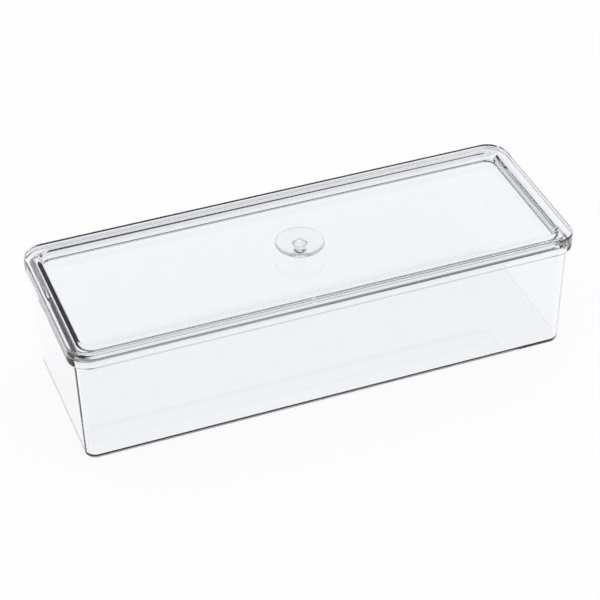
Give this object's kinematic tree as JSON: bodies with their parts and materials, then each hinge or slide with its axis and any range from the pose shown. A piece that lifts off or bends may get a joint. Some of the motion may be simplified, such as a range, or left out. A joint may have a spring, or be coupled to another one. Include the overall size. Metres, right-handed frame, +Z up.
{
  "type": "clear storage box with lid",
  "caption": "Long, low clear plastic storage box: a drafted tray with a thick rim and a lift-off lid with a sunken panel and a disc knob on a short stem.",
  "frame": {"origin": "centre of the box's outline, on the plane that it stands on", "axes": "+X along the long side, +Y along the short side, +Z up through the knob"},
  "size_m": [0.3, 0.109, 0.0793],
  "materials": {
    "clear_acrylic": "clear, colourless, polished"
  },
  "bodies": {
    "tray": {"tray": "clear_acrylic"},
    "lid": {"lid": "clear_acrylic", "knob": "clear_acrylic"}
  },
  "joints": [
    {"name": "lid_lift", "type": "slide", "parent": "tray", "child": "lid", "axis": [0, 0, 1], "range_m": [0, 0.09]}
  ]
}
